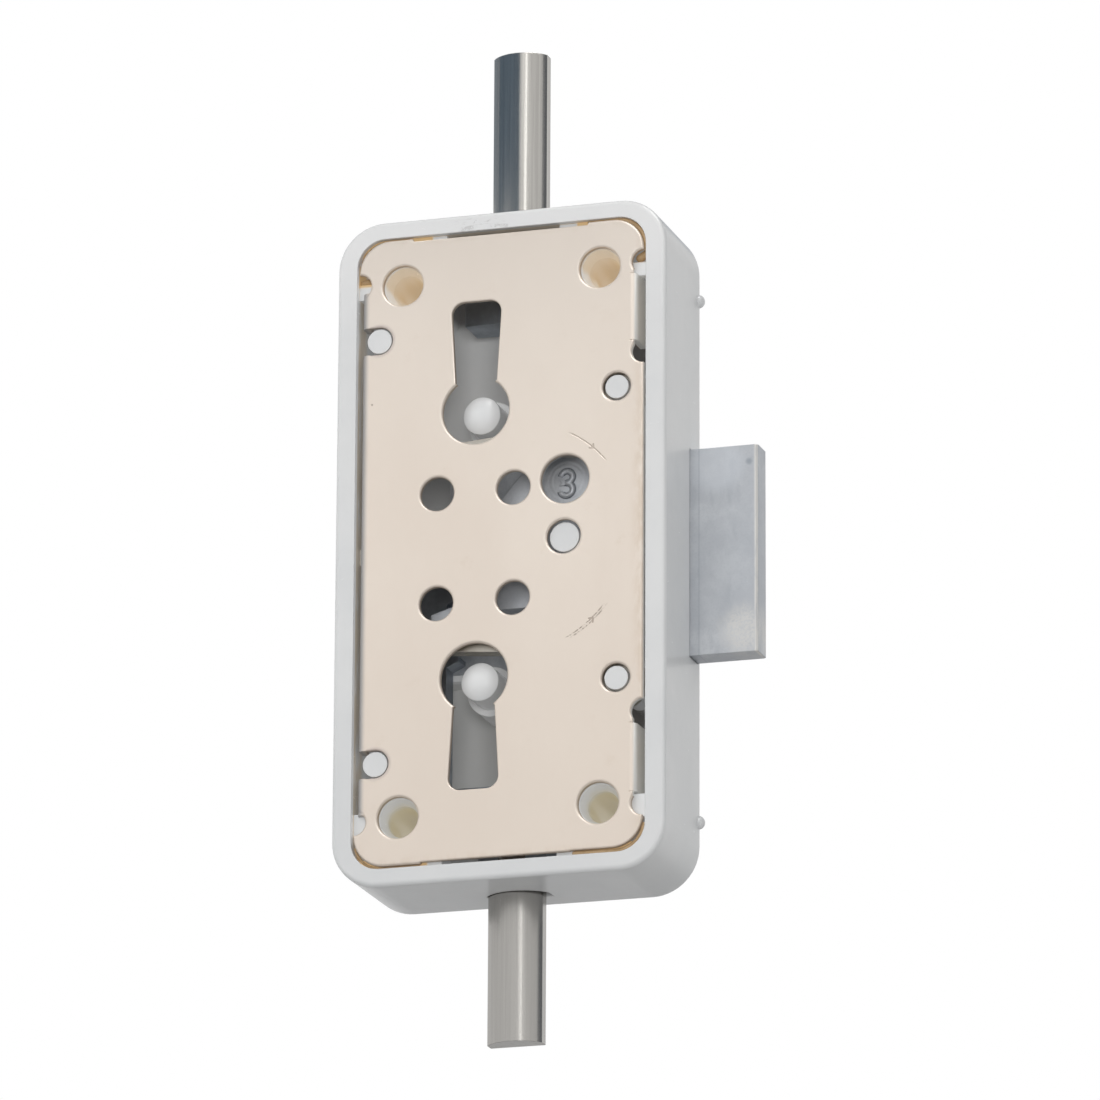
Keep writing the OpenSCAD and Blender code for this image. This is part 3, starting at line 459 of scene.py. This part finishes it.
def makeMetal(name):
    colour, pale, rough, rounding = metalFinishes[name]
    paint = Finish(name, {"Metallic": 1.0})
    cloud = paint.noise(0.3, 4.0, 0.6)
    line = paint.noise(2.5, 3.0, 0.6, (0.1, 1.0, 1.0), 2.0)
    paint.feed("Base Color", paint.mix(cloud.between(0.35, 0.65), colour, pale))
    paint.feed("Roughness", rough + 0.12 * line)
    paint.bump(line + cloud, 0.008, rounding)
    return paint.material


# grease beads, with a faint painted glow that lifts them out of shade
greaseFinish = {"colour": (0.50, 0.35, 0.20), "deep": (0.36, 0.24, 0.12), "glow": 0.1, "rough": 0.3}


def makeGrease(settings):
    paint = Finish("amber grease", {"IOR": 1.45, "Emission Strength": settings["glow"]})
    cloud = paint.noise(0.6, 4.0, 0.6)
    colour = paint.mix(cloud.between(0.3, 0.7), settings["colour"], settings["deep"])
    paint.feed("Base Color", colour)
    paint.feed("Emission Color", colour)
    paint.feed("Roughness", settings["rough"] + 0.3 * cloud)
    paint.bump(cloud, 0.1)
    return paint.material


plastic = makePlastic(plasticFinish)
plateMetal = makePlate(plateFinish)
zinc = makeZinc(zincFinish)
rodSteel = makeRod(rodFinish)
pinSteel, gearSteel, leverBrass, springWire = (makeMetal(name) for name in metalFinishes)
grease = makeGrease(greaseFinish)
nodeFinishes = {"housing": plastic, "cover_plate": plateMetal, "dead_bolt": zinc, "bolt_stumps": pinSteel,
                "drive_pinion": gearSteel, "pinion_axle": pinSteel, "upper_rack": gearSteel,
                "lower_rack": gearSteel, "upper_rod": rodSteel, "lower_rod": rodSteel,
                "upper_rod_rivet": pinSteel, "lower_rod_rivet": pinSteel}
for name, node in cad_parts.items():
    finish = nodeFinishes.get(name) or (leverBrass if "lever" in name else springWire)
    node.data.materials.clear()
    node.data.materials.append(finish)
print("finishes made:", len(bpy.data.materials))


# meshes
def meshOf(form, name):
    mesh = bpy.data.meshes.new(name)
    form.to_mesh(mesh)
    form.free()
    return mesh


def skinned(form, rings):
    # closed mesh over rings of vertices, with a face on each end
    for a, b in zip(rings, rings[1:]):
        for i in range(len(a)):
            j = (i + 1) % len(a)
            form.faces.new((a[i], a[j], b[j], b[i]))
    form.faces.new(rings[0])
    form.faces.new(rings[-1])


def addPiece(mesh, material, body, smooth=True):
    # the piece is named after its mesh
    piece = toScene(bpy.data.objects.new(mesh.name, mesh))
    mesh.materials.clear()
    mesh.materials.append(material)
    for face in mesh.polygons:
        face.use_smooth = smooth
    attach(piece, body)
    return piece


def arc(x, z, radius, start, end, steps):
    turns = [math.radians(start + (end - start) * i / steps) for i in range(steps + 1)]
    return [(x + radius * math.cos(turn), z + radius * math.sin(turn)) for turn in turns]


def circleHole(x, z, radius, steps):
    return arc(x, z, radius, 0, -360 + 360 / steps, steps - 1)


def sheetMesh(name, outlines, front, back, edge):
    # flat sheet with rounded edges: outlines are (x, z) loops in millimetres, holes run clockwise
    curve = bpy.data.curves.new(name, "CURVE")
    curve.dimensions = "2D"
    curve.fill_mode = "BOTH"
    for points in outlines:
        spline = curve.splines.new("POLY")
        spline.points.add(len(points) - 1)
        for point, (x, z) in zip(spline.points, points):
            point.co = (x * mm, z * mm, 0, 1)
        spline.use_cyclic_u = True
    curve.extrude = (back - front) / 2 * mm - edge * mm
    curve.bevel_depth = edge * mm
    curve.bevel_resolution = 2
    curve.offset = -edge * mm
    holder = toScene(bpy.data.objects.new(name + "Curve", curve))
    mesh = bpy.data.meshes.new_from_object(holder.evaluated_get(bpy.context.evaluated_depsgraph_get()))
    mesh.name = name
    bpy.data.objects.remove(holder)
    bpy.data.curves.remove(curve)
    # the curve lies in X-Y; turn it into X-Z with its front towards the door
    mesh.transform(Matrix.Translation((0, (front + back) / 2 * mm, 0)) @ Matrix.Rotation(math.pi / 2, 4, "X"))
    mesh.update()
    return mesh


def plateOutline(s):
    # anticlockwise from the lower right corner
    ex, ez, r = s["edgeX"], s["edgeZ"], s["corner"]
    left, right = s["leftOut"] + s["bend"], s["rightOut"] - s["bend"]
    n, nz, mz, tongue = s["notch"], s["notchZ"], s["midNotchZ"], s["tongueX"]
    reach, fromZ = s["reach"], s["flangeFrom"]
    slotX, slotZ, slotR = s["slotX"], s["slotZ"], s["slotR"]
    grow = s["cornerGrow"]
    points = arc(ex - r - grow, r - ez + s["cornerLift"], r + grow, -90, -8, 10)
    points += arc(ex, -nz, n, -94, -215, 12)
    points += [(tongue, -reach), (right, -reach), (right, -fromZ), (tongue, -fromZ)]
    points += arc(ex, -mz, n, -145, -270, 10)
    points += arc(ex, mz, n, -90, -215, 10)
    points += [(tongue, fromZ), (right, fromZ), (right, reach), (tongue, reach)]
    points += arc(ex, nz, n, -145, -270, 12)
    points += arc(ex - r, ez - r, r, 0, 90, 10)
    points += [(x, ez + dz) for x, dz in s["topGap"]]
    points += arc(r - ex, ez - r, r, 90, 180, 10)
    points += arc(-ex, nz, n, 90, -30, 12)
    points += [(left, s["leftReach"]), (left, slotZ + slotR)]
    points += arc(slotX, slotZ, slotR, 90, -90, 18)
    points += [(left, slotZ - slotR), (left, slotR - slotZ)]
    points += arc(slotX, -slotZ, slotR, 90, -90, 18)
    points += [(left, -slotZ - slotR), (left, -s["leftReach"])]
    points += arc(-ex, -nz, n, 30, -90, 12)
    points += arc(r - ex, r - ez, r, 180, 270, 10)
    points += [(x, dz - ez) for x, dz in s["lowGap"]]
    return points


def keyholeLoop(s, side):
    # clockwise loop of a keyhole whose slot points away from the middle
    halfNeck = s["neck"] / 2
    neckAngle = math.degrees(math.acos(halfNeck / s["radius"]))
    slope = (s["end"] - s["neck"]) / 2 / (s["reach"] - s["round"])
    startZ = s["radius"] * math.sin(math.radians(neckAngle))
    width = halfNeck + slope * startZ
    endX, endZ = s["end"] / 2 - s["round"], s["reach"] - s["round"]
    loop = arc(0, 0, s["radius"], 180 - neckAngle, 360 + neckAngle, 56)
    loop += [(width, startZ + 0.2)]
    loop += arc(endX, endZ, s["round"], 0, 90, 8)
    loop += arc(-endX, endZ, s["round"], 90, 180, 8)
    loop += [(-width, startZ + 0.2)]
    loop = [(s["x"] + x, side * (s["z"] + z)) for x, z in loop]
    area = sum(a[0] * b[1] - b[0] * a[1] for a, b in zip(loop, loop[1:] + loop[:1]))
    return loop[::-1] if area > 0 else loop


def flangeMesh(name, side, outX, deep, runs):
    # bent edge of the sheet: quarter bend and straight leg, swept over each run of heights
    bend, thick = plateSheet["bend"], plateSheet["thick"]
    rise, lap, cut, shrink = 0.004, 0.35, 0.12, 0.03  # proud of the CAD, onto the sheet, leg's chamfer, end chamfer
    start = outX - bend
    section = [(start - lap, -rise)] + arc(start, bend, bend + rise, -90, 0, 8)
    section += [(outX + rise, deep - cut), (outX - cut, deep), (outX - thick + cut, deep), (outX - thick, deep - cut),
                (outX - thick, bend), (start - lap, thick)]
    middleX, middleY = (sum(point[i] for point in section) / len(section) for i in range(2))
    form = bmesh.new()
    for low, high in runs:
        rings = []
        for z, inward in ((low, shrink), (low + shrink, 0.0), (high - shrink, 0.0), (high, shrink)):
            ring = []
            for x, y in section:
                dx, dy = middleX - x, middleY - y
                size = math.hypot(dx, dy)
                ring.append(form.verts.new((side * (x + dx / size * inward) * mm,
                                            (y + dy / size * inward) * mm, z * mm)))
            rings.append(ring)
        skinned(form, rings)
    bmesh.ops.recalc_face_normals(form, faces=form.faces)
    return meshOf(form, name)


def shadeByAngle(piece, degrees):
    # smooth over bends, sharp over real edges, and flat on the sheet's two faces
    form = bmesh.new()
    form.from_mesh(piece.data)
    bmesh.ops.remove_doubles(form, verts=form.verts, dist=1e-7)
    for edge in form.edges:
        if len(edge.link_faces) == 2:
            edge.smooth = edge.calc_face_angle(0) < math.radians(degrees)
    for face in form.faces:
        face.smooth = True
    form.to_mesh(piece.data)
    form.free()
    mesh = piece.data
    flat = {v: face.normal.copy() for face in mesh.polygons if abs(face.normal.y) > 0.9999 for v in face.vertices}
    normals = [flat.get(loop.vertex_index, mesh.corner_normals[loop.index].vector) for loop in mesh.loops]
    mesh.normals_split_custom_set([tuple(normal) for normal in normals])


def tubeMesh(name, paths, radius, sides=16):
    # round bead along each path of (x, y, z) points in millimetres, with round ends
    cap = ((0.45, 0.89), (0.8, 0.6), (0.97, 0.25))
    form = bmesh.new()
    for path in paths:
        points = [Vector(p) for p in path]
        first, last = (points[0] - points[1]).normalized(), (points[-1] - points[-2]).normalized()
        stations = [(points[0] + first * radius * out, radius * size) for out, size in cap[::-1]]
        stations += [(p, radius) for p in points]
        stations += [(points[-1] + last * radius * out, radius * size) for out, size in cap]
        rings = []
        for i, (place, size) in enumerate(stations):
            ahead = stations[min(i + 1, len(stations) - 1)][0] - stations[max(i - 1, 0)][0]
            across = ahead.cross(Vector((0, 1, 0))).normalized()
            up = across.cross(ahead).normalized()
            rings.append([form.verts.new((place + size * (math.cos(t) * across + math.sin(t) * up)) * mm)
                          for t in (math.tau * k / sides for k in range(sides))])
        skinned(form, rings)
    bmesh.ops.recalc_face_normals(form, faces=form.faces)
    return meshOf(form, name)


def blockMesh(name, blocks, front, back):
    # blocks given by left, right, low and high, between two depths
    form = bmesh.new()
    for left, right, low, high in blocks:
        verts = bmesh.ops.create_cube(form, size=1.0)["verts"]
        bmesh.ops.scale(form, vec=((right - left) * mm, (back - front) * mm, (high - low) * mm), verts=verts)
        bmesh.ops.translate(form, vec=((left + right) / 2 * mm, (front + back) / 2 * mm, (low + high) / 2 * mm),
                            verts=verts)
    return meshOf(form, name)


def addPlate(s):
    outlines = [plateOutline(s)] + [keyholeLoop(keyholeShape, side) for side in (1, -1)]
    outlines += [circleHole(*hole) for hole in roundHoles]
    sheet = addPiece(sheetMesh("coverSheet", outlines, 0.0, s["thick"], s["rounding"]), plateMetal,
                     "case")
    shadeByAngle(sheet, 50)
    slotTop, slotLow = s["slotZ"] + s["slotR"], s["slotZ"] - s["slotR"]
    leftRuns = [(slotTop, s["leftReach"]), (-slotLow, slotLow), (-s["leftReach"], -slotTop)]
    rightRuns = [(s["flangeFrom"], s["reach"]), (-s["reach"], -s["flangeFrom"])]
    for mesh in (flangeMesh("leftFlange", -1, -s["leftOut"], s["leftDeep"], leftRuns),
                 flangeMesh("rightFlanges", 1, s["rightOut"], s["rightDeep"], rightRuns)):
        shadeByAngle(addPiece(mesh, plateMetal, "case"), 40)
    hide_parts("cover_plate")
    print("cover plate made:", len(sheet.data.polygons), "faces")


addPlate(plateSheet)

# raised figure on the bolt's adjusting pad
figureLines = []
for bowl in figureShape["bowls"]:
    (centreX, centreZ), (start, end) = bowl["centre"], bowl["turn"]
    line = arc(centreX, centreZ, bowl["radius"], start, end, figureShape["steps"])
    figureLines.append([(x, figureShape["depth"], z) for x, z in line])
addPiece(tubeMesh("raisedFigure", figureLines, figureShape["line"]), zinc, "bolt")
print("raised figure made")

# wider locating pegs behind the corner notches
pegShape = {"front": 1.05, "back": 2.55,
            "blocks": [(19.4, 22.05, 38.5, 40.5), (-22.05, -19.4, 38.6, 40.95),
                       (19.4, 22.05, -42.3, -38.9), (-22.05, -19.4, -42.3, -38.9)]}
addPiece(blockMesh("edgePegs", pegShape["blocks"], pegShape["front"], pegShape["back"]), plastic,
         "case", False)

# amber grease pressed out along the corners of the cover plate
beadShape = {"wide": 0.34, "thin": 0.22, "lump": 0.62, "wideDepth": 0.85, "thinDepth": 1.1}


def beadPath(corner, turn, steps, depth, before=(), after=()):
    return [*before, *((x, depth, z) for x, z in arc(*corner, *turn, steps)), *after]


wideY, thinY = beadShape["wideDepth"], beadShape["thinDepth"]
wideBeads = [beadPath((17.6, 43.0, 4.14), (90, 0), 14, wideY, [(13.2, 1.0, 47.2)], [(21.83, 1.0, 42.3)]),
             beadPath((17.45, -42.9, 4.2), (-90, -8), 12, wideY, [(11.3, 0.9, -47.02)])]
thinBeads = [beadPath((-17.6, -43.0, 4.18), (-90, -166), 12, thinY, [(-12.0, thinY, -47.22)]),
             beadPath((-17.6, 43.0, 4.18), (90, 160), 12, thinY, [(-14.0, thinY, 47.22)])]
greaseLumps = [[(20.6, 1.9, 41.4), (21.6, 1.8, 41.9)], [(-21.6, 1.9, 41.3), (-20.6, 1.9, 41.5)]]
for name, paths, size in (("wideBeads", wideBeads, "wide"), ("thinBeads", thinBeads, "thin"),
                          ("greaseLumps", greaseLumps, "lump")):
    addPiece(tubeMesh(name, paths, beadShape[size]), grease, "case")
print("pegs and grease made")


# studio; azimuth counts from the door side, lamps in metres and watts, cards in millimetres
studio = {"dull": 0.38, "gloss": 0.85,
          "lamps": [{"name": "keyBox", "seenBy": "dull", "azimuth": -38, "elevation": 36, "distance": 2.2,
                     "size": (2.6, 2.6), "power": 28.0},
                    {"name": "nearFill", "seenBy": "dull", "azimuth": 17.6, "elevation": -8, "distance": 2.0,
                     "size": (0.6, 0.6), "power": 11.0},
                    {"name": "sideFill", "seenBy": "dull", "azimuth": 78, "elevation": 14, "distance": 1.8,
                     "size": (1.5, 1.5), "power": 4.0},
                    {"name": "backFill", "seenBy": "dull", "azimuth": 152, "elevation": 24, "distance": 2.0,
                     "size": (2.0, 2.0), "power": 7.0},
                    {"name": "glossBox", "seenBy": "gloss", "azimuth": -18, "elevation": 40, "distance": 2.0,
                     "size": (2.0, 1.4), "power": 4.4},
                    {"name": "stripBox", "seenBy": "gloss", "azimuth": 17.5, "elevation": 16.4, "distance": 1.5,
                     "size": (0.16, 1.3), "power": 1.3},
                    {"name": "edgeBox", "seenBy": "gloss", "azimuth": 50, "elevation": 62, "distance": 2.0,
                     "size": (1.1, 1.1), "power": 24.0}],
          "cards": [{"name": "upperCard", "azimuth": -49, "distance": 90, "centreZ": 124, "size": (186, 84),
                     "glow": (0.14, 0.19, 0.25)},
                    {"name": "backCard", "azimuth": -142, "distance": 90, "centreZ": 124, "size": (186, 84),
                     "glow": (0.29, 0.33, 0.38)},
                    {"name": "rightCard", "azimuth": 100, "distance": 420, "centreZ": 60, "size": (330, 520),
                     "glow": (0.16, 0.17, 0.19)}]}
floorSettings = {"z": -1.0, "halfSide": 4.0, "colour": (0.55, 0.55, 0.55), "rough": 0.8,
                 "dull": 0.0, "gloss": 0.1, "white": 0.5}


def outward(azimuth, elevation=0.0):
    a, e = math.radians(azimuth), math.radians(elevation)
    return Vector((math.sin(a) * math.cos(e), -math.cos(a) * math.cos(e), math.sin(e)))


def addLamp(name, seenBy, azimuth, elevation, distance, size, power):
    data = bpy.data.lights.new(name, "AREA")
    data.shape = "RECTANGLE"
    data.size, data.size_y = size
    data.energy = power
    lamp = toScene(bpy.data.objects.new(name, data))
    out = outward(azimuth, elevation)
    lamp.location = out * distance
    lamp.rotation_euler = out.to_track_quat("Z", "Y").to_euler()
    lamp.visible_glossy = seenBy == "gloss"
    lamp.visible_diffuse = seenBy == "dull"


def paleOutside(paint, dull, gloss, white):
    # white for the camera and glass, softer in gloss, dimmer as a light source
    level = dull
    for ray, strength in (("Is Glossy Ray", gloss), ("Is Camera Ray", white), ("Is Transmission Ray", white)):
        level = paint.node("ShaderNodeLightPath", {}, {}, ray).between(0.0, 1.0, level, strength)
    return level


def addStage(name, halfSide, parts, shine):
    # square grid with a plain material
    form = bmesh.new()
    bmesh.ops.create_grid(form, x_segments=parts, y_segments=parts, size=halfSide)
    stage = toScene(bpy.data.objects.new(name, meshOf(form, name)))
    paint = Finish(name, {"Emission Strength": 1.0, **shine})
    stage.data.materials.append(paint.material)
    return stage, paint


def addCard(name, azimuth, distance, centreZ, size, glow):
    # grey card beside the lock that only gloss sees
    card, paint = addStage(name, 0.5, 1, {"Base Color": black, "Specular IOR Level": 0.0, "Emission Color": glow})
    out = outward(azimuth)
    place = (out * distance + Vector((0, 0, centreZ))) * mm
    card.matrix_world = (Matrix.Translation(place) @ out.to_track_quat("Z", "Y").to_matrix().to_4x4()
                         @ Matrix.Diagonal((size[0] * mm, size[1] * mm, 1, 1)))
    for ray in ("camera", "diffuse", "transmission", "volume_scatter", "shadow"):
        setattr(card, "visible_" + ray, False)


def addFloor(s):
    floor, paint = addStage("floor", s["halfSide"], 8, {"Base Color": s["colour"], "Roughness": s["rough"]})
    floor.location = (0, 0, s["z"])
    paint.feed("Emission Color", paleOutside(paint, s["dull"], s["gloss"], s["white"]))


def addWorld(s):
    world = bpy.data.worlds.new("studio")
    bpy.context.scene.world = world
    world.use_nodes = True
    background = world.node_tree.nodes["Background"]
    background.inputs["Color"].default_value = (1.0, 1.0, 1.0, 1.0)
    paint = Paint(world.node_tree)
    paint.put(background.inputs["Strength"], paleOutside(paint, s["dull"], s["gloss"], 1.0))


for lamp in studio["lamps"]:
    addLamp(**lamp)
for card in studio["cards"]:
    addCard(**card)
addWorld(studio)
addFloor(floorSettings)
bpy.context.scene.view_settings.view_transform = "Standard"
print("studio set")
